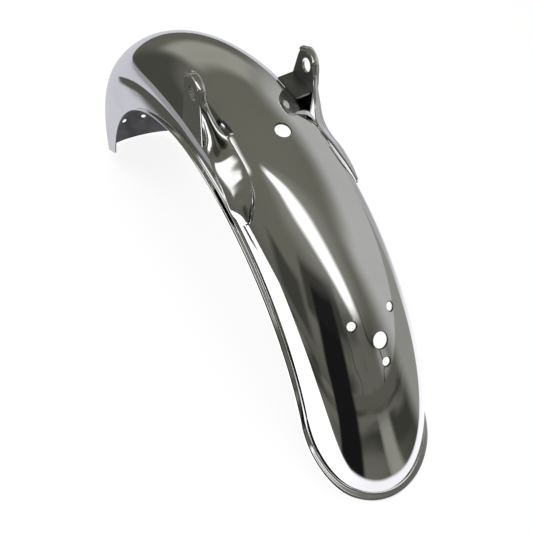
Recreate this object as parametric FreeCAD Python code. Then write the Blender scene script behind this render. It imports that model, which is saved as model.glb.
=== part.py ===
import FreeCAD
import Part
import math
import os

# Rear mudguard of a small motorcycle: a domed steel blade round the wheel, with a bead rolled along its rear
# edges and tail, a deeper skirt at the front, and a welded lug bracket with an inner stay on each shoulder.
# +X is forward, +Y is left, +Z is up. Angles are measured at the wheel axis from straight up, rearwards positive.
# Slopes are measured across the blade's section, from level at the crown to 90 on a side wall.

# Blade: the domed section
crown_radius = 310.0
sheet = 1.2
half_width = 52.5
crown_arc = 63.0
shoulder_arc = 36.0

# Blade: the side outline
wall_depth = 39.6
foot_arc = 228.0
skirt_start = 8.0
skirt_arc = 330.0
skirt_depth = 67.0
skirt_blend = 110.0
tail_angle = 76.7
tail_rake = 30.0
tail_depth = 50.3
tail_corner = 49.0
front_angle = 76.6
front_rake = 21.5
front_corner = 24.0

# Blade: the rolled bead
bead_height = 4.2
bead_width = 2.6
bead_round = 0.9
bead_root = 1.0
bead_end = 4.0
bead_fade = -20.0
bead_point = 0.3

# Holes through the crown
cable_hole = 12.0
cable_hole_angle = 19.2
lamp_bolt_hole = 6.5
lamp_bolt_spacing = 34.4
lamp_pair_angle = 46.2
lamp_single_angle = 52.6
lamp_cable_hole = 12.0
lamp_cable_angle = 49.5
front_bolt_hole = 6.5
front_bolt_spacing = 29.6
front_bolt_angle = -69.1

# Brackets: the lug
plate = 2.2
lug_inset = 5.7
lug_hole = 10.5
lug_radius = 13.5
lug_angle = 10.9
lug_height = 8.6
lug_foot_front = 7.6
lug_foot_back = 14.3
rim_width = 5.6
rim_crown = 0.5
rim_proud = 0.4
rim_start = -40.0
rim_end = 90.0
rim_steps = 3

# Brackets: the ramp and leaf
ramp_angle = 14.9
ramp_lean = 0.9
ramp_drop = 14.0
ramp_edge_rise = 11.0
ramp_cut = -135.0
leaf_start = 18.0
leaf_end = 28.2
leaf_rise = 8.0
leaf_middle_rise = 6.4
leaf_tip_rise = 4.0
leaf_tip_run = 2.3
leaf_tip_share = 0.4
leaf_inner_slope = 33.5
leaf_outer_slope = 62.0
leaf_inner_turn = 13.0
leaf_outer_turn = 10.0
seat_gap = 0.25

# Stays
stay_plate = 1.8
stay_drop = 14.0
stay_foot_slope = 31.5
stay_front = 8.2
stay_back = 13.4

CENTRE = FreeCAD.Vector(0, 0, 0)
AXLE = FreeCAD.Vector(0, 1, 0)
REACH = 400.0
TOUCH = 0.01
UPRIGHT = 90.0

section_join = math.degrees(math.asin((half_width - shoulder_arc) / (crown_arc - shoulder_arc)))
foot_radius = crown_radius - wall_depth
skirt_radius = crown_radius - skirt_depth
lug_inner = half_width - lug_inset
lug_outer = lug_inner + plate
lug_centre_radius = crown_radius + lug_height
plate_radius = lug_radius - plate / 2
rim_outer = lug_outer + rim_proud


def polar(angle, radius, y=0.0):
    """Point at an angle and radius round the wheel axis."""
    turn = math.radians(angle)
    return FreeCAD.Vector(-radius * math.sin(turn), y, radius * math.cos(turn))


def angle_of(point):
    return math.degrees(math.atan2(-point.x, point.z))


def shoulder_centre():
    """(y, radius) of the centre that the left shoulder is struck from."""
    join = math.radians(section_join)
    step = crown_arc - shoulder_arc
    return step * math.sin(join), crown_radius - crown_arc + step * math.cos(join)


def section_point(slope, height=0.0):
    """(y, radius) where the domed section has a slope, moved out from the blade's outer face by height."""
    y, radius, arc = 0.0, crown_radius - crown_arc, crown_arc
    if slope > section_join:
        y, radius = shoulder_centre()
        arc = shoulder_arc
    reach = arc + height
    return y + reach * math.sin(math.radians(slope)), radius + reach * math.cos(math.radians(slope))


def section_radius_at(y):
    """Radius of the blade's outer face at a distance out over the shoulder."""
    centre_y, centre = shoulder_centre()
    return centre + math.sqrt(shoulder_arc ** 2 - (y - centre_y) ** 2)


def height_of(point):
    """How far a point on or outside the blade stands off its outer face."""
    radius = math.hypot(point.x, point.z)
    y, centre = shoulder_centre()
    if radius < centre:
        return abs(point.y) - half_width
    crown_centre = crown_radius - crown_arc
    if math.degrees(math.atan2(abs(point.y), radius - crown_centre)) <= section_join:
        return math.hypot(point.y, radius - crown_centre) - crown_arc
    return math.hypot(abs(point.y) - y, radius - centre) - shoulder_arc


def section_edges(height):
    """Section of the blade in the upright plane through the axle, from the right foot to the left foot."""

    def at(slope, side):
        y, radius = section_point(slope, height)
        return FreeCAD.Vector(0, side * y, radius)

    deep = FreeCAD.Vector(0, 0, skirt_radius - wall_depth - at(UPRIGHT, 1).z)
    middle = (section_join + UPRIGHT) / 2
    lines = [
        Part.LineSegment(at(UPRIGHT, -1) + deep, at(UPRIGHT, -1)),
        Part.Arc(at(UPRIGHT, -1), at(middle, -1), at(section_join, -1)),
        Part.Arc(at(section_join, -1), at(0.0, 1), at(section_join, 1)),
        Part.Arc(at(section_join, 1), at(middle, 1), at(UPRIGHT, 1)),
        Part.LineSegment(at(UPRIGHT, 1), at(UPRIGHT, 1) + deep),
    ]
    return [line.toShape() for line in lines]


def sweep_round_axle(shape, start, end):
    """Revolves a shape that stands in the upright plane through the axle, between two angles."""
    turned = shape.copy()
    turned.rotate(CENTRE, AXLE, -start)
    return turned.revolve(CENTRE, AXLE, start - end)


def make_band(low, high, start, end):
    """The blade's section between two heights off its outer face, revolved between two angles."""
    inner = section_edges(low)
    outer = section_edges(high)
    feet = [(inner[0].Vertexes[0], outer[0].Vertexes[0]), (inner[-1].Vertexes[-1], outer[-1].Vertexes[-1])]
    closing = [Part.LineSegment(foot.Point, edge.Point).toShape() for foot, edge in feet]
    section = Part.Face(Part.Wire(Part.__sortEdges__(inner + outer + closing)))
    return sweep_round_axle(section, start, end)


def meet_circle(start, run, radius):
    """Where a line from start first crosses a circle round the wheel axis."""
    along = start.dot(run)
    return start + run * (-along - math.sqrt(along ** 2 - start.dot(start) + radius ** 2))


def arc_centre(start, end, radius):
    """Centre of the arc of the given radius from start forwards to end that bows upwards."""
    chord = end - start
    out = FreeCAD.Vector(-chord.z, 0, chord.x).normalize()
    return (start + end) / 2 - out * math.sqrt(radius ** 2 - (chord.Length / 2) ** 2)


def out_from(centre, point, radius):
    """Point at a radius from a centre, on the side that another point lies."""
    return centre + (point - centre).normalize() * radius


def blend_centre(rear, front, blend):
    """Upper point at a blend's distance inside two circles, each given by its centre and radius."""
    near = rear[1] - blend
    far = front[1] - blend
    step = front[0] - rear[0]
    along = (near ** 2 - far ** 2 + step.Length ** 2) / (2 * step.Length)
    line = step / step.Length
    side = FreeCAD.Vector(line.z, 0, -line.x) * math.sqrt(near ** 2 - along ** 2)
    foot = rear[0] + line * along
    return max((foot + side, foot - side), key=lambda point: point.z)


def edge_along_y(prism, point):
    """The edge of a prism along Y that stands on a point of its side outline."""
    spot = Part.Vertex(point)
    return min(prism.Edges, key=lambda edge: edge.distToShape(spot)[0])


def make_outline():
    """Prism of the blade's side outline: raked tail, rear foot, front skirt and raked front."""
    tail_run = FreeCAD.Vector(math.cos(math.radians(tail_rake)), 0, math.sin(math.radians(tail_rake)))
    front_run = FreeCAD.Vector(-math.cos(math.radians(front_rake)), 0, math.sin(math.radians(front_rake)))
    tail_tip = polar(tail_angle, crown_radius)
    front_tip = polar(-front_angle, crown_radius)
    tail_foot = meet_circle(tail_tip, tail_run, crown_radius - tail_depth)
    front_foot = meet_circle(front_tip, front_run, skirt_radius)
    skirt_top = polar(skirt_start, foot_radius)
    far_tail = tail_tip - tail_run * REACH
    far_front = front_tip - front_run * REACH
    above = FreeCAD.Vector(0, 0, 3 * REACH)
    foot_centre = arc_centre(tail_foot, skirt_top, foot_arc)
    skirt_centre = arc_centre(skirt_top, front_foot, skirt_arc)
    blend = blend_centre((foot_centre, foot_arc), (skirt_centre, skirt_arc), skirt_blend)
    blend_start = out_from(foot_centre, blend, foot_arc)
    blend_end = out_from(skirt_centre, blend, skirt_arc)
    lines = [
        Part.LineSegment(far_tail, tail_foot),
        Part.Arc(tail_foot, out_from(foot_centre, (tail_foot + blend_start) / 2, foot_arc), blend_start),
        Part.Arc(blend_start, out_from(blend, (blend_start + blend_end) / 2, skirt_blend), blend_end),
        Part.Arc(blend_end, out_from(skirt_centre, (blend_end + front_foot) / 2, skirt_arc), front_foot),
        Part.LineSegment(front_foot, far_front),
        Part.LineSegment(far_front, far_front + above),
        Part.LineSegment(far_front + above, far_tail + above),
        Part.LineSegment(far_tail + above, far_tail),
    ]
    face = Part.Face(Part.Wire([line.toShape() for line in lines]))
    face.translate(FreeCAD.Vector(0, -REACH, 0))
    prism = face.extrude(FreeCAD.Vector(0, 2 * REACH, 0))
    for corner, radius in ((tail_foot, tail_corner), (front_foot, front_corner)):
        prism = prism.makeFillet(radius, [edge_along_y(prism, corner)])
    return prism


def make_bead_taper():
    """Wedges outside both walls that thin the bead away to nothing where the skirt begins."""
    full = polar(bead_end, foot_radius).x
    gone = polar(bead_fade, foot_radius).x
    outside = half_width + 2 * bead_height
    corners = [
        FreeCAD.Vector(full, half_width + bead_height, 0),
        FreeCAD.Vector(gone, half_width + bead_point, 0),
        FreeCAD.Vector(gone + REACH, half_width + bead_point, 0),
        FreeCAD.Vector(gone + REACH, outside, 0),
        FreeCAD.Vector(full, outside, 0),
    ]
    left = Part.Face(Part.makePolygon(corners + [corners[0]])).extrude(FreeCAD.Vector(0, 0, crown_radius))
    return [left, left.mirror(CENTRE, AXLE)]


def bead_edges(blade, shells, height):
    """Edges of the bead at a height that lie on its outlines."""
    edges = []
    for edge in blade.Edges:
        middle = edge.valueAt((edge.FirstParameter + edge.LastParameter) / 2)
        spot = Part.Vertex(middle)
        level = abs(height_of(middle) - height) < TOUCH
        if level and min(shell.distToShape(spot)[0] for shell in shells) < TOUCH:
            edges.append(edge)
    return edges


def crown_drill(diameter, angle, y=0.0):
    """Cutter through the crown along the radius at an angle."""
    start = polar(angle, foot_radius, y)
    return Part.makeCylinder(diameter / 2, 2 * wall_depth, start, polar(angle, 1.0))


def make_blade():
    outline = make_outline()
    side = min(outline.Faces, key=lambda face: face.CenterOfMass.y)
    inset = Part.Face(side.makeOffset2D(-bead_width).Wires[0])
    inside = inset.extrude(FreeCAD.Vector(0, 2 * REACH, 0))
    bead = make_band(-sheet, bead_height, bead_fade, UPRIGHT).common(outline.cut(inside))
    blade = make_band(-sheet, 0.0, -UPRIGHT, UPRIGHT).common(outline).fuse(bead).Solids[0]
    blade = blade.makeFillet(bead_round, bead_edges(blade, outline.Shells + inside.Shells, bead_height))
    blade = blade.makeFillet(bead_root, bead_edges(blade, inside.Shells, 0.0)).cut(make_bead_taper())
    drills = [
        crown_drill(cable_hole, cable_hole_angle),
        crown_drill(lamp_bolt_hole, lamp_single_angle),
        crown_drill(lamp_cable_hole, lamp_cable_angle),
    ]
    for side in (-1, 1):
        drills.append(crown_drill(lamp_bolt_hole, lamp_pair_angle, side * lamp_bolt_spacing / 2))
        drills.append(crown_drill(front_bolt_hole, front_bolt_angle, side * front_bolt_spacing / 2))
    return blade.cut(drills).removeSplitter().Solids[0]


def lug_point(turn, reach, y):
    """Point round the lug's hole: turn is from straight out of the wheel, rearwards positive."""
    return polar(lug_angle, lug_centre_radius, y) + polar(lug_angle + turn, reach)


def tangent_turn(point):
    """Turn round the lug at which a line from an outside point touches it, seen from the point's side."""
    away = point - polar(lug_angle, lug_centre_radius)
    facing = angle_of(away) - lug_angle
    swing = math.degrees(math.acos(plate_radius / away.Length))
    return facing, swing


def make_lug():
    """Upright plate with a round top about its hole and a foot that reaches down to the shoulder."""
    foot = section_radius_at(lug_outer)
    front = polar(lug_foot_front, foot)
    back = polar(lug_foot_back, foot)
    front_facing, front_swing = tangent_turn(front)
    back_facing, back_swing = tangent_turn(back)
    front_touch = lug_point(front_facing + front_swing, plate_radius, 0)
    back_touch = lug_point(back_facing - back_swing, plate_radius, 0)
    lines = [
        Part.LineSegment(front, front_touch),
        Part.Arc(front_touch, lug_point(0, plate_radius, 0), back_touch),
        Part.LineSegment(back_touch, back),
        Part.Arc(back, polar((lug_foot_front + lug_foot_back) / 2, foot), front),
    ]
    face = Part.Face(Part.Wire([line.toShape() for line in lines]))
    face.translate(FreeCAD.Vector(0, lug_inner, 0))
    return face.extrude(FreeCAD.Vector(0, plate, 0))


def bow(points):
    """Smooth curve through three points."""
    curve = Part.BSplineCurve()
    curve.interpolate(points)
    return curve


def ring(outer, inner):
    """Closed section of a pressing from three points on its face and three on its back."""
    lines = [
        bow(outer),
        Part.LineSegment(outer[2], inner[2]),
        bow(inner[::-1]),
        Part.LineSegment(inner[0], outer[0]),
    ]
    return Part.Wire([line.toShape() for line in lines])


def rim_ring(turn):
    """Section of the rim where it is turned over the lug's edge."""
    ys = (rim_outer, rim_outer - rim_width / 2, rim_outer - rim_width)
    crowned = (0.0, rim_crown, 0.0)
    outer = [lug_point(turn, lug_radius + rise, y) for y, rise in zip(ys, crowned)]
    inner = [lug_point(turn, lug_radius + rise - plate, y) for y, rise in zip(ys, crowned)]
    return ring(outer, inner)


def leaf_ring(angle, rise, narrow=1.0):
    """Section of the hollow leaf over the shoulder: its two edges seat on the blade, its middle rises."""
    share = (angle - leaf_start) / (leaf_end - leaf_start)
    inner_slope = leaf_inner_slope + share ** 3 * leaf_inner_turn
    outer_slope = leaf_outer_slope + share * leaf_outer_turn
    middle = (inner_slope + outer_slope) / 2
    spread = narrow * (outer_slope - inner_slope) / 2
    slopes = (middle + spread, middle, middle - spread)
    heights = (seat_gap + plate, max(rise, seat_gap + plate + rim_crown), seat_gap + plate)
    outer = []
    inner = []
    for slope, height in zip(slopes, heights):
        y, radius = section_point(slope, height)
        outer.append(polar(angle, radius, y))
        y, radius = section_point(slope, height - plate)
        inner.append(polar(angle, radius, y))
    return ring(outer, inner)


def ramp_ring():
    """Section half way down the ramp, where the rim begins to spread into the leaf."""
    outer_y, outer_radius = section_point(leaf_outer_slope, seat_gap + plate)
    inner_y, inner_radius = section_point(leaf_inner_slope, seat_gap + plate)
    outer = [
        polar(ramp_angle, outer_radius + ramp_edge_rise, (outer_y + rim_outer) / 2),
        polar(ramp_angle + ramp_lean, lug_centre_radius - ramp_drop, rim_outer - rim_width / 2),
        polar(ramp_angle + ramp_lean, inner_radius + ramp_edge_rise / 2, (inner_y + rim_outer - rim_width) / 2),
    ]
    into = polar(ramp_angle + ramp_cut, plate)
    return ring(outer, [point + into for point in outer])


def make_bracket():
    """Lug plate with a rim that runs down a ramp into a hollow leaf, trimmed to the blade's shoulder."""
    rings = [
        leaf_ring(leaf_end, 0.0, leaf_tip_share),
        leaf_ring(leaf_end - leaf_tip_run, leaf_tip_rise),
        leaf_ring((leaf_start + leaf_end) / 2, leaf_middle_rise),
        leaf_ring(leaf_start, leaf_rise),
        ramp_ring(),
    ]
    for step in range(rim_steps + 1):
        rings.append(rim_ring(rim_end + (rim_start - rim_end) * step / rim_steps))
    strip = Part.makeLoft(rings, True, False)
    bore = Part.makeCylinder(lug_hole / 2, REACH, polar(lug_angle, lug_centre_radius, 0), AXLE)
    seat = make_band(-2 * plate, seat_gap, 0.0, UPRIGHT)
    return make_lug().fuse(strip).cut([bore, seat]).removeSplitter().Solids[0]


def make_stay():
    """Flat plate from the lug's inside face down to the crown."""
    top = lug_centre_radius - stay_drop
    foot_y, foot = section_point(stay_foot_slope, seat_gap)
    corners = [
        FreeCAD.Vector(0, lug_inner, top),
        FreeCAD.Vector(0, foot_y, foot + stay_plate),
        FreeCAD.Vector(0, foot_y, foot),
        FreeCAD.Vector(0, lug_inner, top - stay_plate),
    ]
    section = Part.Face(Part.makePolygon(corners + [corners[0]]))
    return sweep_round_axle(section, stay_front, stay_back)


def main():
    os.makedirs("parts", exist_ok=True)
    pieces = {"mudguard_blade": make_blade()}
    for name, shape in (("bracket", make_bracket()), ("stay", make_stay())):
        pieces["left_" + name] = shape
        pieces["right_" + name] = shape.mirror(CENTRE, AXLE)
    box = Part.makeCompound(list(pieces.values())).optimalBoundingBox()
    to_floor = FreeCAD.Vector(-box.Center.x, 0, -box.ZMin)
    for name, shape in pieces.items():
        shape.translate(to_floor)
        print(name, shape.isValid(), len(shape.Solids), round(shape.Volume), shape.optimalBoundingBox())
        shape.exportStep("parts/" + name + ".step")


if __name__ == "__main__":
    main()
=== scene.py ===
import bpy
import bmesh
import math
from mathutils import Matrix, Vector


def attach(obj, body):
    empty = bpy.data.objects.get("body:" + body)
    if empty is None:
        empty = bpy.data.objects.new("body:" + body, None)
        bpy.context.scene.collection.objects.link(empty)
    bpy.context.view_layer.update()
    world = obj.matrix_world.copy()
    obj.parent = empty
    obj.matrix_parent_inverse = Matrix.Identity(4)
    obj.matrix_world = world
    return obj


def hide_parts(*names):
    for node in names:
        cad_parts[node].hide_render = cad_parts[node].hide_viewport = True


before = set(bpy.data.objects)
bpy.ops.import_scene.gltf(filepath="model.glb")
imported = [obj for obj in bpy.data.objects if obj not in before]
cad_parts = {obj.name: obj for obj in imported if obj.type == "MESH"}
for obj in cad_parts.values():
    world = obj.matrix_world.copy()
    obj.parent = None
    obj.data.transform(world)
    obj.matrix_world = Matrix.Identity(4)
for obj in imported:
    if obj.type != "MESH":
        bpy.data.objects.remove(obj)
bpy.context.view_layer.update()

# Sizes are in metres and degrees, in the frame of the solids. Angles run round the wheel axis from
# straight up, rearwards positive. Slopes run across the blade's section, from 0 at the crown to 90.
WHEEL = Vector((0.00233035, 0.0, -0.06935553))
AXLE = Vector((0.0, 1.0, 0.0))
FORWARD = Vector((1.0, 0.0, 0.0))

# Points closer than this are one
TOUCH = 1e-6

# Blade: the domed section, turned round the wheel axis
CROWN_RADIUS = 0.310
SHEET = 0.0012
HALF_WIDTH = 0.0525
CROWN_ARC = 0.063
SHOULDER_ARC = 0.036
CROWN_STEPS = 16
SHOULDER_STEPS = 24
WALL_RUN = 0.016
WALL_STEPS = 3
SHEET_TURN = 92.0
JOIN = math.degrees(math.asin((HALF_WIDTH - SHOULDER_ARC) / (CROWN_ARC - SHOULDER_ARC)))
SHOULDER_Y = HALF_WIDTH - SHOULDER_ARC
SHOULDER_RADIUS = CROWN_RADIUS - CROWN_ARC + (CROWN_ARC - SHOULDER_ARC) * math.cos(math.radians(JOIN))

# Blade: the side outline
FOOT_RADIUS = CROWN_RADIUS - 0.0396
FOOT_ARC = 0.228
SKIRT_RADIUS = CROWN_RADIUS - 0.067
SKIRT_START = 8.0
SKIRT_ARC = 0.330
SKIRT_BLEND = 0.110
TAIL_ANGLE = 76.7
TAIL_RAKE = 30.0
TAIL_RADIUS = CROWN_RADIUS - 0.0503
TAIL_CORNER = 0.049
FRONT_ANGLE = 76.6
FRONT_RAKE = 21.5
FRONT_CORNER = 0.024

# Cutter of that outline: its reach past the tips, upwards and to each side, and the steps of its arcs
OUTLINE_REACH = 0.3
OUTLINE_HEIGHT = 1.0
OUTLINE_HALF = 0.2
LEAST_STEPS = 8
STEPS_PER_DEGREE = 1.2

# Bead: the slim lip turned out along the rear edges and the tail. It is whole behind BEAD_END and thins to
# a share of BEAD_POINT at BEAD_FADE. BEAD_STRETCH limits its stretch where its wall leans.
BEAD_HEIGHT = 0.00418
BEAD_WIDTH = 0.0026
BEAD_ROUND = 0.0013
BEAD_ROOT = 0.001
BEAD_SUNK = 0.7 * SHEET
BEAD_END = 4.0
BEAD_FADE = -20.0
BEAD_POINT = 0.07
BEAD_STRETCH = 0.82
BEAD_TUCK = 0.0002
UNDER_BEAD = 0.0004
TAIL_STEPS = 40
BEAD_ROUND_STEPS = 6
BEAD_ROOT_STEPS = 5

# Steps along each arc of the outline that the bead follows, with 1 where the arc's spokes point into the
# blade and -1 where they point out of it
BEAD_RUNS = ((40, -1.0), (150, 1.0), (10, 1.0), (120, 1.0))

# Holes through the crown: diameter, angle, distance from the middle
HOLES = (
    (0.012, 19.2, 0.0),
    (0.012, 49.5, 0.0),
    (0.0065, 52.6, 0.0),
    (0.0065, 46.2, 0.0172),
    (0.0065, 46.2, -0.0172),
    (0.0065, -69.1, 0.0148),
    (0.0065, -69.1, -0.0148),
)
HOLE_EDGE = 0.0007
HOLE_SIDES = 48
DRILL_DEPTH = 0.05
EASE_DEPTH = 0.002

# Brackets: the lug
PLATE = 0.0022
SEAT_GAP = 0.00025
SEAT = SEAT_GAP + PLATE
LUG_OUTER = 0.049
LUG_INNER = LUG_OUTER - PLATE
LUG_HOLE = 0.0105
LUG_RADIUS = 0.0135
LUG_ANGLE = 10.9
LUG_REACH = CROWN_RADIUS + 0.0086
LUG_FRONT = 7.6
LUG_BACK = 14.3
LUG_STEPS = 20
LUG_FOOT_STEPS = 10
LUG_EDGE = 0.0003
LUG_DRILL = 0.02
LUG_HOLE_SIDES = 64
NEAR_LUG = 0.0003

# Brackets: rim and ramp
RIM_WIDTH = 0.0056
RIM_CROWN = 0.0005
RIM_OUTER = LUG_OUTER + 0.0004
RIM_TURNS = (90.0, 46.7, 3.3, -40.0)
RAMP_ANGLE = 14.9
RAMP_LEAN = 0.9
RAMP_DROP = 0.014
RAMP_EDGE_RISE = 0.011

# Brackets: the hollow leaf, with how far its outer edge stands off the blade at each angle
LEAF_START = 18.0
LEAF_START_RISE = 0.0044
LEAF_MIDDLE = 23.1
LEAF_MIDDLE_RISE = 0.0054
LEAF_FOLD = 25.9
LEAF_FOLD_RISE = 0.005
LEAF_END = 28.2
LEAF_END_SHARE = 0.4
LEAF_INNER_SLOPE = 33.5
LEAF_OUTER_SLOPE = 62.0
LEAF_INNER_TURN = 13.0
LEAF_OUTER_TURN = 10.0
LEAF_LIFT_TURN = 1100.0
LEAF_BOW = 0.0014
LEAF_FACING = Vector((-0.22, 0.83, 0.51)).normalized()
STRIP_STEPS = (160, 24)
STRIP_EDGE = 0.0005
CORNER_TURN = math.radians(55.0)

# The weld's dimple near the leaf's tip
DIMPLE_ANGLE = 25.2
DIMPLE_SLOPE = 52.0
DIMPLE_RISE = 0.0052
DIMPLE_RADIUS = 0.003
DIMPLE_DEPTH = 0.0003

# Edges that turn by more than these angles stay sharp in the shading
BLADE_SHARP = 35.0
BEAD_SHARP = 50.0
LUG_SHARP = 8.0
STRIP_SHARP = 18.0
STAY_SHARP = 28.0


def polar(angle, radius, y=0.0):
    """Point at an angle and radius round the wheel axis."""
    turn = math.radians(angle)
    return WHEEL + Vector((-radius * math.sin(turn), y, radius * math.cos(turn)))


def angle_of(point):
    return math.degrees(math.atan2(WHEEL.x - point.x, point.z - WHEEL.z))


def radius_of(point):
    return math.hypot(point.x - WHEEL.x, point.z - WHEEL.z)


def height_off_blade(point):
    """How far a point stands off the blade's outer face; inside the sheet it is negative."""
    radius = radius_of(point)
    if radius < SHOULDER_RADIUS:
        return abs(point.y) - HALF_WIDTH
    crown = CROWN_RADIUS - CROWN_ARC
    if math.degrees(math.atan2(abs(point.y), radius - crown)) <= JOIN:
        return math.hypot(point.y, radius - crown) - CROWN_ARC
    return math.hypot(abs(point.y) - SHOULDER_Y, radius - SHOULDER_RADIUS) - SHOULDER_ARC


def slope_at(radius):
    """Slope of the blade's section where its outer face has a radius."""
    share = (radius - CROWN_RADIUS + CROWN_ARC) / CROWN_ARC
    slope = math.degrees(math.acos(max(-1.0, min(1.0, share))))
    if slope <= JOIN:
        return slope
    share = (radius - SHOULDER_RADIUS) / SHOULDER_ARC
    return math.degrees(math.acos(max(0.0, min(1.0, share))))


def section_at(slope, height=0.0):
    """(y, radius) at a slope of the blade's section, at a height off its outer face."""
    y, radius, reach = 0.0, CROWN_RADIUS - CROWN_ARC, CROWN_ARC + height
    if slope > JOIN:
        y, radius, reach = SHOULDER_Y, SHOULDER_RADIUS, SHOULDER_ARC + height
    turn = math.radians(slope)
    return y + reach * math.sin(turn), radius + reach * math.cos(turn)


def over_blade(angle, slope, height=0.0):
    """Point over the blade's left half, at an angle, a slope and a height off the outer face."""
    y, radius = section_at(slope, height)
    return polar(angle, radius, y)


def shoulder_at(y):
    """Radius of the blade's outer face at a distance out over the shoulder."""
    return SHOULDER_RADIUS + math.sqrt(SHOULDER_ARC ** 2 - (y - SHOULDER_Y) ** 2)


def verts_of(geom):
    return [item for item in geom if isinstance(item, bmesh.types.BMVert)]


def run_arc(bm, vert, centre, angle, steps, axis):
    """Spins one vertex into an arc of edges and returns the arc's last vertex."""
    spun = bmesh.ops.spin(bm, geom=[vert], cent=centre, axis=axis, angle=angle, steps=steps)
    return verts_of(spun["geom_last"])[0]


def run_line(bm, vert, step):
    """Extrudes one vertex along a step and returns the new vertex."""
    new = bmesh.ops.extrude_vert_indiv(bm, verts=[vert])["verts"]
    bmesh.ops.translate(bm, verts=new, vec=step)
    return new[0]


def thicken(bm, face, step):
    """Extrudes a flat face into a closed block, with its normals outwards."""
    grown = bmesh.ops.extrude_face_region(bm, geom=face, use_keep_orig=True)
    bmesh.ops.translate(bm, verts=verts_of(grown["geom"]), vec=step)
    bmesh.ops.recalc_face_normals(bm, faces=bm.faces)


def break_edges(bm, offset):
    """Rounds every sharp edge of a closed plate a little."""
    ends = [edge for edge in bm.edges if edge.is_manifold and edge.calc_face_angle() > CORNER_TURN]
    bmesh.ops.bevel(bm, geom=ends, offset=offset, affect="EDGES", segments=2, profile=0.5, material=-1)


def drill(bm, place, diameter, depth, sides):
    """Adds a round cutter at a place."""
    radius = diameter / 2
    bmesh.ops.create_cone(
        bm, cap_ends=True, segments=sides, radius1=radius, radius2=radius, depth=depth, matrix=place
    )


def linked_object(name, mesh):
    piece = bpy.data.objects.new(name, mesh)
    bpy.context.scene.collection.objects.link(piece)
    return piece


def new_object(name, bm):
    mesh = bpy.data.meshes.new(name)
    bm.to_mesh(mesh)
    bm.free()
    return linked_object(name, mesh)


def use_up(piece):
    """Removes a piece that was only needed to make another."""
    mesh = piece.data
    bpy.data.objects.remove(piece)
    bpy.data.meshes.remove(mesh)


def cut(piece, cutter, operation):
    """Trims a piece with a cutter, which is used up."""
    trim = piece.modifiers.new("trim", "BOOLEAN")
    trim.operation = operation
    trim.solver = "EXACT"
    trim.object = cutter
    graph = bpy.context.evaluated_depsgraph_get()
    mesh = bpy.data.meshes.new_from_object(piece.evaluated_get(graph))
    piece.modifiers.clear()
    old = piece.data
    piece.data = mesh
    bpy.data.meshes.remove(old)
    use_up(cutter)


def join(piece, other):
    """Adds another piece's mesh to a piece; the other is used up."""
    bm = bmesh.new()
    bm.from_mesh(piece.data)
    bm.from_mesh(other.data)
    bm.to_mesh(piece.data)
    bm.free()
    use_up(other)


def smooth(piece, sharp):
    """Shades a piece smooth, apart from edges that turn by more than an angle."""
    piece.data.shade_smooth()
    piece.data.set_sharp_from_angle(angle=math.radians(sharp))


def sheet_round_wheel():
    """The domed section, spun round the wheel axis and given the sheet's thickness inwards."""
    bm = bmesh.new()
    top = bm.verts.new(polar(0.0, CROWN_RADIUS))
    crown = polar(0.0, CROWN_RADIUS - CROWN_ARC)
    shoulder = polar(0.0, SHOULDER_RADIUS, SHOULDER_Y)
    end = run_arc(bm, top, crown, -math.radians(JOIN), CROWN_STEPS, FORWARD)
    end = run_arc(bm, end, shoulder, -math.radians(90.0 - JOIN), SHOULDER_STEPS, FORWARD)
    for _ in range(WALL_STEPS):
        end = run_line(bm, end, Vector((0.0, 0.0, -WALL_RUN)))
    section = bm.verts[:] + bm.edges[:]
    bmesh.ops.mirror(bm, geom=section, matrix=Matrix.Identity(4), merge_dist=TOUCH, axis="Y")
    bmesh.ops.remove_doubles(bm, verts=bm.verts, dist=TOUCH)
    to_front = Matrix.Rotation(math.radians(SHEET_TURN), 3, "Y")
    bmesh.ops.rotate(bm, verts=bm.verts, cent=WHEEL, matrix=to_front)
    section = bm.verts[:] + bm.edges[:]
    turn = -math.radians(2 * SHEET_TURN)
    bmesh.ops.spin(bm, geom=section, cent=WHEEL, axis=AXLE, angle=turn, steps=int(2 * SHEET_TURN))
    bmesh.ops.recalc_face_normals(bm, faces=bm.faces)
    top_face = max(bm.faces, key=lambda face: face.calc_center_median().z)
    if top_face.normal.z < 0.0:
        bmesh.ops.reverse_faces(bm, faces=bm.faces)
    bmesh.ops.solidify(bm, geom=bm.faces, thickness=SHEET)
    bmesh.ops.recalc_face_normals(bm, faces=bm.faces)
    return new_object("mudguard_blade_sheet", bm)


def offset_corner(start, run, side, centre, radius, corner):
    """Centre of a corner of a given radius between a line and the outside of a circle."""
    base = start + side * corner - centre
    along = base.dot(run)
    return centre + base + run * (-along - math.sqrt(along ** 2 - base.dot(base) + (radius + corner) ** 2))


def out_from(centre, point, radius):
    return centre + (point - centre).normalized() * radius


def meet_circle(start, run, radius):
    """Where a line from start first crosses a circle round the wheel axis."""
    base = start - WHEEL
    along = base.dot(run)
    return start + run * (-along - math.sqrt(max(0.0, along ** 2 - base.dot(base) + radius ** 2)))


def arc_centre(start, end, radius):
    """Centre of the arc of the given radius from start forwards to end that bows upwards."""
    chord = end - start
    out = Vector((-chord.z, 0.0, chord.x)).normalized()
    return (start + end) / 2 - out * math.sqrt(radius ** 2 - chord.length_squared / 4)


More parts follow.
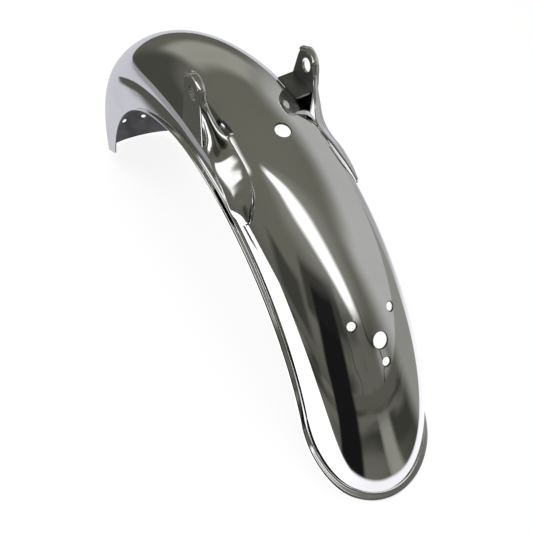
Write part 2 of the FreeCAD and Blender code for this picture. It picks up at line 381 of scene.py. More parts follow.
class SideOutline:
    """The blade's outline seen from the side: raked tail, rear foot, blend, front skirt and raked front."""

    def __init__(self, under=0.0):
        """under draws the beaded edges in, so that the sheet ends inside the bead."""
        rake = math.radians(TAIL_RAKE)
        lean = math.radians(FRONT_RAKE)
        self.tail_run = Vector((math.cos(rake), 0.0, math.sin(rake)))
        self.tail_in = Vector((-math.sin(rake), 0.0, math.cos(rake)))
        self.front_run = Vector((-math.cos(lean), 0.0, math.sin(lean)))
        self.front_in = Vector((math.sin(lean), 0.0, math.cos(lean)))
        tip = polar(TAIL_ANGLE, CROWN_RADIUS)
        self.tail_tip = tip + self.tail_in * under
        self.front_tip = polar(-FRONT_ANGLE, CROWN_RADIUS)
        tail_foot = meet_circle(tip, self.tail_run, TAIL_RADIUS)
        skirt_top = polar(SKIRT_START, FOOT_RADIUS)
        front_foot = meet_circle(self.front_tip, self.front_run, SKIRT_RADIUS)
        self.foot = FOOT_ARC + under
        self.foot_centre = arc_centre(tail_foot, skirt_top, FOOT_ARC)
        self.skirt_centre = arc_centre(skirt_top, front_foot, SKIRT_ARC)
        self.tail_corner = offset_corner(
            self.tail_tip, self.tail_run, self.tail_in, self.foot_centre, self.foot, TAIL_CORNER
        )
        self.front_corner = offset_corner(
            self.front_tip, self.front_run, self.front_in, self.skirt_centre, SKIRT_ARC, FRONT_CORNER
        )
        self.blend = self.blend_centre()

    def blend_centre(self):
        """Upper point at the blend's distance inside both the rear foot's circle and the skirt's."""
        near = self.foot - SKIRT_BLEND
        far = SKIRT_ARC - SKIRT_BLEND
        step = self.skirt_centre - self.foot_centre
        along = (near ** 2 - far ** 2 + step.length_squared) / (2 * step.length)
        line = step.normalized()
        side = Vector((line.z, 0.0, -line.x)) * math.sqrt(near ** 2 - along ** 2)
        middle = self.foot_centre + line * along
        return max((middle + side, middle - side), key=lambda point: point.z)

    def arcs(self):
        """(centre, first point, last point) of each arc from the tail to the front."""
        tail_touch = self.tail_corner - self.tail_in * TAIL_CORNER
        foot_start = out_from(self.foot_centre, self.tail_corner, self.foot)
        foot_end = out_from(self.foot_centre, self.blend, self.foot)
        skirt_start = out_from(self.skirt_centre, self.blend, SKIRT_ARC)
        skirt_end = out_from(self.skirt_centre, self.front_corner, SKIRT_ARC)
        front_touch = self.front_corner - self.front_in * FRONT_CORNER
        return [
            (self.tail_corner, tail_touch, foot_start),
            (self.foot_centre, foot_start, foot_end),
            (self.blend, foot_end, skirt_start),
            (self.skirt_centre, skirt_start, skirt_end),
            (self.front_corner, skirt_end, front_touch),
        ]


def turn_between(centre, first, last):
    """Signed turn about the axle that takes first to last round a centre."""
    a = first - centre
    b = last - centre
    return math.atan2(a.z * b.x - a.x * b.z, a.dot(b))


def outline_cutter():
    """Prism of the side outline, wider than the blade."""
    outline = SideOutline(UNDER_BEAD)
    bm = bmesh.new()
    first = bm.verts.new(outline.tail_tip - outline.tail_run * OUTLINE_REACH)
    arcs = outline.arcs()
    end = run_line(bm, first, arcs[0][1] - first.co)
    for centre, start, stop in arcs:
        turn = turn_between(centre, start, stop)
        steps = max(LEAST_STEPS, int(abs(math.degrees(turn)) * STEPS_PER_DEGREE))
        end = run_arc(bm, end, centre, turn, steps, AXLE)
    end = run_line(bm, end, outline.front_tip - outline.front_run * OUTLINE_REACH - end.co)
    end = run_line(bm, end, Vector((0.0, 0.0, OUTLINE_HEIGHT)))
    end = run_line(bm, end, Vector((first.co.x - end.co.x, 0.0, 0.0)))
    bm.edges.new((end, first))
    face = bmesh.ops.contextual_create(bm, geom=bm.edges[:])["faces"]
    bmesh.ops.translate(bm, verts=bm.verts, vec=-AXLE * OUTLINE_HALF)
    thicken(bm, face, AXLE * 2 * OUTLINE_HALF)
    return new_object("outline_cutter", bm)


def hole_cutter():
    """Drills for every hole in the crown, each along the radius at its angle."""
    bm = bmesh.new()
    for diameter, angle, y in HOLES:
        turn = Matrix.Rotation(-math.radians(angle), 4, "Y")
        place = Matrix.Translation(polar(angle, CROWN_RADIUS, y)) @ turn
        drill(bm, place, diameter, DRILL_DEPTH, HOLE_SIDES)
    return new_object("hole_cutter", bm)


def hole_edge_cutter():
    """Cones that ease the outer edge of every hole, each square to the blade's face."""
    bm = bmesh.new()
    rise = Matrix.Translation((0.0, 0.0, EASE_DEPTH / 2 - HOLE_EDGE))
    for diameter, angle, y in HOLES:
        slope = math.asin(y / CROWN_ARC)
        face = polar(angle, CROWN_RADIUS - CROWN_ARC + CROWN_ARC * math.cos(slope), y)
        turn = Matrix.Rotation(-math.radians(angle), 4, "Y") @ Matrix.Rotation(-slope, 4, "X")
        small = diameter / 2 / math.cos(slope)
        bmesh.ops.create_cone(
            bm, cap_ends=True, segments=HOLE_SIDES, radius1=small, radius2=small + EASE_DEPTH,
            depth=EASE_DEPTH, matrix=Matrix.Translation(face) @ turn @ rise,
        )
    return new_object("hole_edge_cutter", bm)


def side_arc(centre, start, turn, steps, inwards):
    """Points along an arc of the side outline, each with the way into the blade."""
    arc = []
    for step in range(steps + 1):
        spoke = Matrix.Rotation(turn * step / steps, 3, "Y") @ (start - centre)
        arc.append((centre + spoke, spoke.normalized() * inwards))
    return arc


def bead_side():
    """The beaded edge on the left, from its front end to the middle of the tail.

    Each place has its point on the outline, the slope of the section there and the way into the blade.
    """
    outline = SideOutline()
    edge = []
    for arc, (steps, inwards) in zip(outline.arcs(), BEAD_RUNS):
        edge += side_arc(arc[0], arc[1], turn_between(*arc), steps, inwards)[1 if edge else 0:]
    places = []
    for point, into in edge[::-1]:
        if angle_of(point) >= BEAD_FADE:
            places.append((point, slope_at(radius_of(point)), into))
    last_slope = places[-1][1]
    for step in range(1, TAIL_STEPS + 1):
        slope = last_slope * (1.0 - step / TAIL_STEPS)
        point = meet_circle(outline.tail_tip, outline.tail_run, section_at(slope)[1])
        places.append((point, slope, outline.tail_in))
    return places


def bead_frames():
    """Frames along the beaded edge, from the left front end round the tail to the right front end.

    X runs in over the blade and Y stands off it, both stretched to the bead's sizes.
    """
    left = []
    for point, slope, into in bead_side():
        turn = math.radians(angle_of(point))
        tilt = math.radians(slope)
        off = Vector((-math.cos(tilt) * math.sin(turn), math.sin(tilt), math.cos(tilt) * math.cos(turn)))
        share = min(1.0, max(BEAD_POINT, (angle_of(point) - BEAD_FADE) / (BEAD_END - BEAD_FADE)))
        left.append((Vector((point.x, section_at(slope)[0], point.z)), off, into, share))
    flip = Matrix.Diagonal((1.0, -1.0, 1.0))
    chain = left + [(flip @ point, flip @ off, into, share) for point, off, into, share in left[-2::-1]]
    frames = []
    for index, (point, off, into, share) in enumerate(chain):
        before = chain[max(0, index - 1)][0]
        after = chain[min(len(chain) - 1, index + 1)][0]
        along = (after - before).normalized()
        inward = off.cross(along).normalized()
        wall = (off - into * off.dot(into) - along * off.dot(along)).normalized()
        inward *= (0.5 + 0.5 * share) / inward.dot(into)
        wall *= share / max(BEAD_STRETCH, wall.dot(off))
        place = Matrix((inward, wall, along)).transposed().to_4x4()
        place.translation = point - into * BEAD_TUCK * (1.0 - share)
        frames.append(place)
    return frames


def bead_section(bm):
    """Closed section of the bead: X in over the blade, Y off it, with a round top and a hollow root."""
    along = Vector((0.0, 0.0, 1.0))
    quarter = math.radians(90.0)
    first = bm.verts.new((0.0, -SHEET, 0.0))
    end = run_line(bm, first, Vector((0.0, SHEET + BEAD_HEIGHT - BEAD_ROUND, 0.0)))
    end = run_arc(bm, end, end.co + Vector((BEAD_ROUND, 0.0, 0.0)), -quarter, BEAD_ROUND_STEPS, along)
    end = run_line(bm, end, Vector((BEAD_WIDTH - 2 * BEAD_ROUND, 0.0, 0.0)))
    end = run_arc(bm, end, end.co - Vector((0.0, BEAD_ROUND, 0.0)), -quarter, BEAD_ROUND_STEPS, along)
    end = run_line(bm, end, Vector((0.0, BEAD_ROUND + BEAD_ROOT - BEAD_HEIGHT, 0.0)))
    end = run_arc(bm, end, end.co + Vector((BEAD_ROOT, 0.0, 0.0)), quarter, BEAD_ROOT_STEPS, along)
    end = run_line(bm, end, Vector((0.0, -BEAD_SUNK, 0.0)))
    bm.edges.new((end, first))
    bmesh.ops.remove_doubles(bm, verts=bm.verts, dist=TOUCH / 10)
    bmesh.ops.contextual_create(bm, geom=bm.edges[:])


def rolled_bead():
    """The bead's section swept along the rear edges and the tail."""
    frames = bead_frames()
    bm = bmesh.new()
    bead_section(bm)
    bmesh.ops.transform(bm, matrix=frames[0], verts=bm.verts)
    edges = bm.edges[:]
    for before, after in zip(frames, frames[1:]):
        grown = bmesh.ops.extrude_edge_only(bm, edges=edges)["geom"]
        loop = set(verts_of(grown))
        bmesh.ops.transform(bm, matrix=after @ before.inverted(), verts=list(loop))
        edges = [item for item in grown if isinstance(item, bmesh.types.BMEdge)]
        edges = [edge for edge in edges if edge.verts[0] in loop and edge.verts[1] in loop]
    bmesh.ops.contextual_create(bm, geom=edges)
    bmesh.ops.recalc_face_normals(bm, faces=bm.faces)
    return new_object("mudguard_bead", bm)


def rim_line(turn):
    """Three points across the rim where it is turned over the lug's edge."""
    centre = polar(LUG_ANGLE, LUG_REACH) - WHEEL
    angle = LUG_ANGLE + turn
    spots = ((0.0, 0.0), (RIM_WIDTH / 2, RIM_CROWN), (RIM_WIDTH, 0.0))
    return [centre + polar(angle, LUG_RADIUS + rise, RIM_OUTER - across) for across, rise in spots]


def ramp_line():
    """Three points across the ramp, where the rim begins to spread into the leaf."""
    outer_y, outer = section_at(LEAF_OUTER_SLOPE, SEAT)
    inner_y, inner = section_at(LEAF_INNER_SLOPE, SEAT)
    back = RAMP_ANGLE + RAMP_LEAN
    return [
        polar(RAMP_ANGLE, outer + RAMP_EDGE_RISE, (outer_y + RIM_OUTER) / 2),
        polar(back, LUG_REACH - RAMP_DROP, RIM_OUTER - RIM_WIDTH / 2),
        polar(back, inner + RAMP_EDGE_RISE / 2, (inner_y + RIM_OUTER - RIM_WIDTH) / 2),
    ]


def leaf_line(angle, rise, narrow=1.0):
    """Three points across the hollow leaf: inner edge seated, outer edge standing off by a rise."""
    share = (angle - LEAF_START) / (LEAF_END - LEAF_START)
    inner = LEAF_INNER_SLOPE + share ** 3 * LEAF_INNER_TURN
    outer = LEAF_OUTER_SLOPE + share * LEAF_OUTER_TURN - (rise - SEAT) * LEAF_LIFT_TURN
    first = over_blade(angle, outer, rise)
    last = over_blade(angle, inner, SEAT)
    off = (over_blade(angle, (inner + outer) / 2, 1.0) - first).normalized()
    middle = (first + last) / 2
    return [middle + (first - middle) * narrow, middle + off * LEAF_BOW, middle + (last - middle) * narrow]


def across_line(points, share):
    """Place on the bowed curve through three points."""
    first, middle, last = points
    top = middle * 2.0 - (first + last) / 2.0
    return first * (1.0 - share) ** 2 + top * (2.0 * share * (1.0 - share)) + last * share ** 2


def through_all(points, place):
    """Place on the smooth curve through a row of points, counted in spans from the first."""
    span = min(int(place), len(points) - 2)
    share = place - span
    start, end = points[span], points[span + 1]
    length = (end - start).length

    def pull(index):
        if index == 0 or index == len(points) - 1:
            return end - start
        before = points[index] - points[index - 1]
        after = points[index + 1] - points[index]
        near, far = before.length, after.length
        return (before * (far / near) + after * (near / far)) * (length / (near + far))

    square, cube = share ** 2, share ** 3
    return (
        start * (2 * cube - 3 * square + 1)
        + pull(span) * (cube - 2 * square + share)
        + end * (3 * square - 2 * cube)
        + pull(span + 1) * (cube - square)
    )


def bracket_lines():
    """Lines across the left bracket's strip, from the leaf's tip over the ramp to the rim's front end."""
    leaf = [
        leaf_line(LEAF_END, SEAT, LEAF_END_SHARE),
        leaf_line(LEAF_FOLD, LEAF_FOLD_RISE),
        leaf_line(LEAF_MIDDLE, LEAF_MIDDLE_RISE),
        leaf_line(LEAF_START, LEAF_START_RISE),
    ]
    return leaf + [ramp_line()] + [rim_line(turn) for turn in RIM_TURNS]


def bracket_strip():
    """The left bracket's pressed strip: rim, ramp and hollow leaf in one sheet, with the weld's dimple."""
    lines = bracket_lines()
    dimple = over_blade(DIMPLE_ANGLE, DIMPLE_SLOPE, DIMPLE_RISE)
    bm = bmesh.new()
    bmesh.ops.create_grid(bm, x_segments=STRIP_STEPS[0], y_segments=STRIP_STEPS[1], size=1.0)
    for vert in bm.verts:
        place = (vert.co.x + 1.0) / 2.0 * (len(lines) - 1)
        across = (vert.co.y + 1.0) / 2.0
        point = through_all([across_line(line, across) for line in lines], place)
        near = (point - dimple).length / DIMPLE_RADIUS
        vert.co = point - LEAF_FACING * DIMPLE_DEPTH * math.exp(-(near ** 2))
    bmesh.ops.solidify(bm, geom=bm.faces, thickness=PLATE)
    bmesh.ops.recalc_face_normals(bm, faces=bm.faces)
    break_edges(bm, STRIP_EDGE)
    return new_object("left_bracket_plate", bm)


def lug_plate():
    """The left lug: an upright plate with a round top, standing on the shoulder."""
    bm = bmesh.new()
    radius = LUG_RADIUS - PLATE / 2
    side = AXLE * LUG_INNER
    centre = polar(LUG_ANGLE, LUG_REACH) + side
    foot = shoulder_at(LUG_OUTER) + SEAT_GAP
    front = polar(LUG_FRONT, foot) + side
    back = polar(LUG_BACK, foot) + side

    def touch(point, way):
        swing = math.acos(radius / (point - centre).length) * way
        return centre + Matrix.Rotation(swing, 3, "Y") @ (point - centre).normalized() * radius

    top = polar(LUG_ANGLE, LUG_REACH + radius) + side
    front_touch = touch(front, -1.0)
    back_touch = touch(back, 1.0)
    first = bm.verts.new(front)
    end = run_line(bm, first, front_touch - front)
    end = run_arc(bm, end, centre, turn_between(centre, front_touch, top), LUG_STEPS, AXLE)
    end = run_arc(bm, end, centre, turn_between(centre, top, back_touch), LUG_STEPS, AXLE)
    end = run_line(bm, end, back - end.co)
    end = run_arc(bm, end, WHEEL + side, turn_between(WHEEL + side, back, front), LUG_FOOT_STEPS, AXLE)
    bmesh.ops.remove_doubles(bm, verts=bm.verts, dist=TOUCH)
    face = bmesh.ops.contextual_create(bm, geom=bm.edges[:])["faces"]
    thicken(bm, face, AXLE * PLATE)
    lift = shoulder_at(LUG_INNER) - shoulder_at(LUG_OUTER)
    for vert in bm.verts:
        if vert.co.y < LUG_INNER + PLATE / 2 and radius_of(vert.co) < foot + 10 * TOUCH:
            vert.co += (vert.co - WHEEL - side).normalized() * lift
    bmesh.ops.recalc_face_normals(bm, faces=bm.faces)
    break_edges(bm, LUG_EDGE)
    return new_object("left_lug", bm)


def lug_drill():
    bm = bmesh.new()
    centre = Matrix.Translation(polar(LUG_ANGLE, LUG_REACH, LUG_INNER))
    drill(bm, centre @ Matrix.Rotation(math.radians(90.0), 4, "X"), LUG_HOLE, LUG_DRILL, LUG_HOLE_SIDES)
    return new_object("lug_drill", bm)


def pressed_bracket():
    """The left bracket: its strip with the bored lug, whose flat faces stay flat to the light."""
    lug = lug_plate()
    cut(lug, lug_drill(), "DIFFERENCE")
    smooth(lug, LUG_SHARP)
    bracket = bracket_strip()
    smooth(bracket, STRIP_SHARP)
    join(bracket, lug)
    return bracket


def mirrored_copy(piece, name):
    """The same piece on the other side of the middle plane."""
    mesh = piece.data.copy()
    mesh.transform(Matrix.Scale(-1.0, 4, AXLE))
    mesh.flip_normals()
    return linked_object(name, mesh)


def smooth_copy(node):
    """Copy of a solid with its facets joined, so that the plate shines evenly over its curves."""
    bm = bmesh.new()
    bm.from_mesh(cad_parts[node].data)
    bmesh.ops.remove_doubles(bm, verts=bm.verts, dist=TOUCH)
    piece = new_object(node + "_plate", bm)
    smooth(piece, STAY_SHARP)
    return piece


class Field:
    """A socket's value in one finish; sums and products with numbers and other fields add Math nodes."""

    def __init__(self, finish, socket):
        self.finish = finish
        self.socket = socket

    def reckon(self, operation, first, second=0.0):
        return self.finish.node("ShaderNodeMath", {"operation": operation}, {0: first, 1: second})

    def __add__(self, other):
        return self.reckon("ADD", self, other)

    def __radd__(self, other):
        return self.reckon("ADD", other, self)

    def __sub__(self, other):
        return self.reckon("SUBTRACT", self, other)

    def __rsub__(self, other):
        return self.reckon("SUBTRACT", other, self)

    def __mul__(self, other):
        return self.reckon("MULTIPLY", self, other)

    def __rmul__(self, other):
        return self.reckon("MULTIPLY", other, self)

    def __truediv__(self, other):
        return self.reckon("DIVIDE", self, other)

    def __rtruediv__(self, other):
        return self.reckon("DIVIDE", other, self)

    def __neg__(self):
        return self.reckon("SUBTRACT", 0.0, self)

    def __abs__(self):
        return self.reckon("ABSOLUTE", self)

    def at_least(self, other):
        return self.reckon("MAXIMUM", self, other)

    def at_most(self, other):
        return self.reckon("MINIMUM", self, other)


class Finish:
    """One node tree and the ways to fill it."""

    def __init__(self, tree):
        self.tree = tree
        self.tree.nodes.clear()

    def node(self, kind, settings=None, inputs=None, output=0):
        """Adds a node, sets it, feeds its sockets, and returns one of its outputs as a field."""
        made = self.tree.nodes.new(kind)
        for name, value in (settings or {}).items():
            if name == "stops":
                ramp = made.color_ramp
                while len(ramp.elements) < len(value):
                    ramp.elements.new(0.5)
                for element, (place, colour) in zip(ramp.elements, value):
                    element.position = place
                    element.color = colour
            else:
                setattr(made, name, value)
        for name, value in (inputs or {}).items():
            socket = made.inputs[name]
            if isinstance(value, Field):
                self.tree.links.new(value.socket, socket)
            else:
                socket.default_value = value
        return Field(self, made.outputs[output]) if made.outputs else None

    def place(self, kind="Object"):
        return self.node("ShaderNodeTexCoord", None, None, kind)

    def split(self, vector):
        return [self.node("ShaderNodeSeparateXYZ", None, {0: vector}, axis) for axis in range(3)]

    def noise(self, place, scale, detail, rough=0.55):
        inputs = {"Vector": place, "Scale": scale, "Detail": detail, "Roughness": rough}
        return self.node("ShaderNodeTexNoise", None, inputs)

    def ease(self, value, low, high):
        """0 below low, 1 above high, and a smooth step between."""
        return self.node(
            "ShaderNodeMapRange",
            {"interpolation_type": "SMOOTHSTEP"},
            {"Value": value, "From Min": low, "From Max": high, "To Min": 0.0, "To Max": 1.0},
        )

    def window(self, value, low, high, soft):
        """1 between low and high and 0 outside, eased over soft at each end."""
        return self.ease(value, low - soft, low + soft) * (1.0 - self.ease(value, high - soft, high + soft))

    def bearing(self, x, y):
        """Bearing of a direction in degrees: 0 forward, 90 to the left."""
        return self.node("ShaderNodeMath", {"operation": "ARCTAN2"}, {0: y, 1: x}) * (180.0 / math.pi)

    def blend(self, share, first, second):
        """Colour that goes from first to second as share goes from 0 to 1."""
        first, second = (tone if isinstance(tone, Field) else (*tone, 1.0) for tone in (first, second))
        settings = {"data_type": "RGBA", "blend_type": "MIX"}
        return self.node("ShaderNodeMix", settings, {"Factor": share, 6: first, 7: second}, 2)

    def lay(self, colour, tones):
        """Lays tones over a colour one after the other, each where its share is 1."""
        for share, tone in tones:
            colour = self.blend(share, colour, tone)
        return colour

    def shown(self):
        """1 for rays that come straight from the eye or through something clear, and 0 for the rest."""
        seen = self.node("ShaderNodeLightPath", None, None, "Is Camera Ray")
        return seen.at_least(self.node("ShaderNodeLightPath", None, None, "Is Transmission Ray"))

    def mirrored(self):
        """1 for rays that come off a shiny surface."""
        return self.node("ShaderNodeLightPath", None, None, "Is Glossy Ray")

    def metal(self, colour, rough, height, strength, depth):
        """Ends a finish as metal with a colour, a roughness and a bump."""
        relief = {"Strength": strength, "Distance": depth, "Height": height}
        bump = self.node("ShaderNodeBump", None, relief)
        inputs = {"Base Color": colour, "Metallic": 1.0, "Roughness": rough, "Normal": bump}
        shader = self.node("ShaderNodeBsdfPrincipled", None, inputs)
        self.node("ShaderNodeOutputMaterial", None, {"Surface": shader})


def new_finish(name):
    material = bpy.data.materials.new(name)
    material.use_nodes = True
    return material, Finish(material.node_tree)


def bright_chrome():
    """Polished plate: a faint haze in patches, a wipe of fine lines and the pressing's slow ripple."""
    material, finish = new_finish("bright_chrome")
    place = finish.place()
    haze = finish.ease(finish.noise(place, 14.0, 4.0), 0.45, 0.75)
    wipe = finish.noise(place, 900.0, 2.0)
    ripple = finish.noise(place, 22.0, 1.0, 0.4)
    colour = finish.blend(haze, (0.80, 0.80, 0.80), (0.73, 0.73, 0.72))
    finish.metal(colour, 0.035 + haze * 0.035 + wipe * 0.02, ripple, 0.25, 0.0006)
    return material


def bracket_chrome():
    """Plate over the pressed brackets, a little softer than the blade's."""
    material, finish = new_finish("bracket_chrome")
    place = finish.place()
    haze = finish.ease(finish.noise(place, 60.0, 4.0), 0.4, 0.75)
    wipe = finish.noise(place, 1100.0, 2.0)
    ripple = finish.noise(place, 90.0, 1.0, 0.4)
    colour = finish.blend(haze, (0.79, 0.79, 0.79), (0.68, 0.68, 0.67))
    finish.metal(colour, 0.06 + haze * 0.06 + wipe * 0.03, ripple, 0.2, 0.0003)
    return material


def dull_plate(name, pale, dark):
    """Thin, rough plate, grey and mottled between a pale and a dark tone; on the brackets its darker tone
    is painted shade.
    """
    material, finish = new_finish(name)
    place = finish.place()
    mottle = finish.ease(finish.noise(place, 38.0, 5.0), 0.35, 0.7)
    grain = finish.noise(place, 420.0, 3.0)
    colour = finish.blend(mottle, (pale, pale, pale), (dark, dark, 0.96 * dark))
    finish.metal(colour, 0.32 + mottle * 0.12 + grain * 0.08, grain, 0.15, 0.0003)
    return material


# Bearings of the dark flag behind the part on its left, on the floor and in the room
REAR_FLAG = (136.0, 159.0, 2.0)
BLACK = (0.01, 0.01, 0.01)

# Bearings on the floor are taken from a spot this far back, under the tail
UNDER_TAIL = 0.22
FLOOR_HALF = 4.0

# Pale cards and dark flags of the room: bearings and heights, each with its softness, then cover and tone.
# LOW is below every height.
LOW = -2.0
ROOM_CARDS = {
    "right_card": ((-138.0, -46.0, 12.0), (LOW, 0.675, 0.175), 1.0, (0.5, 0.5, 0.49)),
    "front_card": ((-42.0, 1.0, 5.0), (0.24, 0.62, 0.08), 1.0, (0.35, 0.35, 0.305)),
    "left_flag": ((96.0, 124.0, 5.0), (0.05, 0.5, 0.06), 1.0, (0.055, 0.055, 0.047)),
    "front_flag": ((1.0, 48.0, 6.0), (LOW, 0.475, 0.125), 1.0, (0.07, 0.07, 0.06)),
    "leaf_card": ((52.0, 78.0, 2.5), (0.4, 0.82, 0.03), 1.0, (1.35, 1.35, 1.36)),
    "rear_flag": (REAR_FLAG, (LOW, 0.57, 0.05), 1.0, BLACK),
    "rear_top_flag": ((128.0, 168.0, 3.0), (0.34, 0.68, 0.05), 0.75, (0.015, 0.015, 0.015)),
    "rear_card": ((-160.0, -146.0, 4.0), (0.0, 0.2, 0.05), 1.0, (0.32, 0.32, 0.31)),
}


def white_floor():
    """White floor with a soft shadow; the plate mirrors a white sheet that ends behind the tail."""
    material, finish = new_finish("white_floor")
    place = finish.place()
    x, y, _ = finish.split(place)
    bearing = finish.bearing(x + UNDER_TAIL, y)
    near = finish.ease(x, -1.1, -0.6)
    patches = finish.ease(finish.noise(place, 3.5, 1.5), 0.4, 0.62) * near + (1.0 - near) * 0.6
    sheet = finish.ease(x + y.at_most(0.0) * 0.2, -0.322, -0.315)
    paper = finish.blend(finish.ease(y, 0.02, 0.12), (1.1, 1.1, 1.15), (1.6, 1.6, 1.62))
    ahead = x - abs(y) * 0.3
    front = finish.ease(ahead, 0.2, 0.24)
    right_ground = finish.window(bearing, -135.0, -60.0, 8.0)
    rear_strip = finish.window(bearing, -179.0, -166.0, 3.0) * finish.ease(x, -0.8, -0.45)
    right_sheet = finish.ease(-y, 0.15, 0.6) * sheet
    front_left = front * finish.ease(y, 0.4, 0.7)
    front_line = finish.window(ahead, 0.19, 0.215, 0.008)
    lug_flag = finish.window(x, 0.23, 0.7, 0.02) * finish.window(y, 0.16, 0.6, 0.012)
    ramp_flag = finish.window(x, 0.08, 0.6, 0.03) * finish.window(y, 0.62, 0.95, 0.02)
    seen = finish.shown()
    colour = finish.blend(patches, (0.05, 0.05, 0.042), (0.15, 0.15, 0.125))
    tones = (
        (right_ground, (0.31, 0.31, 0.285)),
        (rear_strip, (0.31, 0.31, 0.27)),
        (finish.window(bearing, *REAR_FLAG), BLACK),
        (sheet, paper),
        (right_sheet, (0.45, 0.45, 0.46)),
        (front, (0.64, 0.64, 0.70)),
        (front_left, (0.36, 0.36, 0.37)),
        (front_line, (0.08, 0.08, 0.075)),
        (lug_flag + ramp_flag, (0.1, 0.1, 0.085)),
        (seen, (1.12, 1.12, 1.12)),
    )
    matt = finish.node("ShaderNodeBsdfDiffuse", None, {"Color": (0.9, 0.9, 0.9, 1.0)})
    glow = finish.node("ShaderNodeEmission", None, {"Color": finish.lay(colour, tones), "Strength": 1.0})
    shader = finish.node("ShaderNodeMixShader", None, {0: seen * 0.8 + finish.mirrored(), 1: matt, 2: glow})
    finish.node("ShaderNodeOutputMaterial", None, {"Surface": shader})
    return material


def room_cards(finish, bearing, z):
    """(share, tone) of every card and flag in the room."""
    cards = []
    for bearings, heights, cover, tone in ROOM_CARDS.values():
        cards.append((finish.window(bearing, *bearings) * finish.window(z, *heights) * cover, tone))
    return cards


def dark_lines(finish, place, bearing, z):
    """Thin lines that wander up the room behind the part."""
    line = bearing + finish.noise(place, 3.0, 1.0) * 46.0
    lines = finish.window(line, -141.0, -139.6, 0.5) + finish.window(line, 192.0, 193.2, 0.5)
    return lines * (1.0 - finish.ease(z, 0.4, 0.6)) * 0.85


def streak(finish, x, y, z):
    """Glare and core of the long soft light over the part, which the crown mirrors as a streak."""
    height = z.at_least(0.1)
    rear = 0.0 - x / height
    side = y / height + rear * 0.29 - 0.26 - finish.ease(-rear, -0.2, 0.1) * 0.08
    lit = finish.ease(rear, -0.1, 0.05) * (1.0 - finish.ease(rear, 1.2, 2.3))
    aside = abs(side) / (0.2 + finish.ease(rear, -0.15, 0.45) * 0.8)
    glare = finish.ease(aside, 0.7, 0.05) * lit * 0.2
    core = finish.ease(aside, 0.24, 0.06) * lit
    return [(glare, (0.8, 0.8, 0.78)), (core, (1.7, 1.7, 1.7))]


def room():
    """Dim grey-olive room with pale cards, dark flags and a long soft light; white to the eye."""
    world = bpy.data.worlds.new("room")
    bpy.context.scene.world = world
    world.use_nodes = True
    finish = Finish(world.node_tree)
    place = finish.place("Generated")
    x, y, z = finish.split(place)
    bearing = finish.bearing(x, y)
    stops = (
        (0.0, (0.12, 0.12, 0.10, 1.0)),
        (0.3, (0.15, 0.148, 0.125, 1.0)),
        (0.65, (0.15, 0.148, 0.12, 1.0)),
        (1.0, (0.165, 0.163, 0.135, 1.0)),
    )
    walls = finish.node("ShaderNodeValToRGB", {"stops": stops}, {0: z})
    patches = finish.ease(finish.noise(place, 2.4, 1.5), 0.4, 0.62)
    gloom = finish.blend(patches, (0.05, 0.05, 0.042), (0.14, 0.138, 0.115))
    behind = finish.ease(-x, 0.75, 1.0) * (1.0 - finish.ease(z, 0.5, 0.85))
    tones = [
        (behind, gloom),
        *room_cards(finish, bearing, z),
        (dark_lines(finish, place, bearing, z), (0.02, 0.02, 0.02)),
        *streak(finish, x, y, z),
        (finish.shown(), (1.0, 1.0, 1.0)),
    ]
    colour = finish.lay(walls, tones)
    back = finish.node("ShaderNodeBackground", None, {"Color": colour, "Strength": 1.0})
    finish.node("ShaderNodeOutputWorld", None, {"Surface": back})


def soft_box():
    """Level square lamp over the part. The plate doesn't mirror it."""
    side = 1.8
    shine = 1.6
    place = Vector((0.0, 0.1, 1.8))
    light = bpy.data.lights.new("soft_box", "AREA")
    light.shape = "SQUARE"
    light.size = side
    light.energy = shine * math.pi * side ** 2
    lit = linked_object("soft_box", light)
    lit.matrix_world = Matrix.Translation(place)
    lit.visible_glossy = False


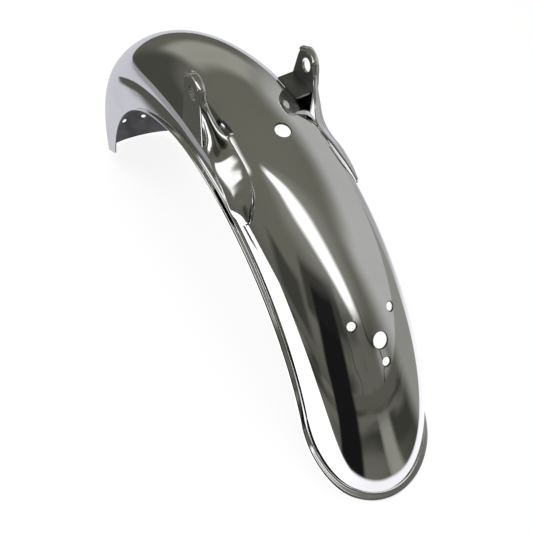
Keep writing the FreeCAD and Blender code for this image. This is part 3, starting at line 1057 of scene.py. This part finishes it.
def camera():
    """The photograph's viewpoint."""
    data = bpy.data.cameras.new("photo_view")
    data.lens = 30.16
    data.sensor_width = 36.0
    data.clip_start = 0.01
    seat = linked_object("photo_view", data)
    right = Vector((-0.5245, -0.8507, 0.0335))
    up = Vector((0.6398, -0.3679, 0.6749))
    back = right.cross(up).normalized()
    place = Matrix((right, up, back)).transposed().to_4x4()
    place.translation = WHEEL + Vector((-0.33465, 0.1638, 0.45964))
    seat.matrix_world = place
    bpy.context.scene.camera = seat


def floor():
    bm = bmesh.new()
    bmesh.ops.create_grid(bm, x_segments=1, y_segments=1, size=FLOOR_HALF)
    piece = new_object("floor", bm)
    piece.data.materials.append(white_floor())


def paint(piece, outside, inside, is_inside):
    """Gives a piece one finish, and another on the faces that lie inside."""
    piece.data.materials.clear()
    piece.data.materials.append(outside)
    piece.data.materials.append(inside)
    for face in piece.data.polygons:
        face.material_index = 1 if is_inside(face) else 0


def within_sheet(face):
    """True for faces that lie below the blade's outer face."""
    return height_off_blade(face.center) < -0.1 * SHEET


def on_lug_inside(face):
    """True for the flat of a lug that looks towards the other lug."""
    return abs(face.normal.y) > 0.9 and abs(abs(face.center.y) - LUG_INNER) < NEAR_LUG


chrome = bright_chrome()
blade_inside = dull_plate("dull_inside", 0.13, 0.075)
bracket_plate = bracket_chrome()
# Darker, rougher plate for the stays and the lugs' inner faces: its dark tone is painted shade for the
# hollow under the brackets
painted_shade_bracket = dull_plate("dull_bracket_painted_shade", 0.3, 0.2)

blade = sheet_round_wheel()
cut(blade, outline_cutter(), "INTERSECT")
cut(blade, hole_cutter(), "DIFFERENCE")
cut(blade, hole_edge_cutter(), "DIFFERENCE")
paint(blade, chrome, blade_inside, within_sheet)
smooth(blade, BLADE_SHARP)
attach(blade, "root")
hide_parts("mudguard_blade")

bead = rolled_bead()
bead.data.materials.append(chrome)
smooth(bead, BEAD_SHARP)
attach(bead, "root")

left_bracket = pressed_bracket()
plates = {
    "left_bracket": left_bracket,
    "right_bracket": mirrored_copy(left_bracket, "right_bracket_plate"),
    "left_stay": smooth_copy("left_stay"),
    "right_stay": smooth_copy("right_stay"),
}
# The stays and the lugs' inner faces take the darker plate, which is painted shade
for node, plate in plates.items():
    whole = node.endswith("stay")
    paint(plate, bracket_plate, painted_shade_bracket, lambda face: whole or on_lug_inside(face))
    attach(plate, "root")
    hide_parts(node)

floor()
room()
soft_box()
camera()

bpy.context.scene.view_settings.view_transform = "Standard"
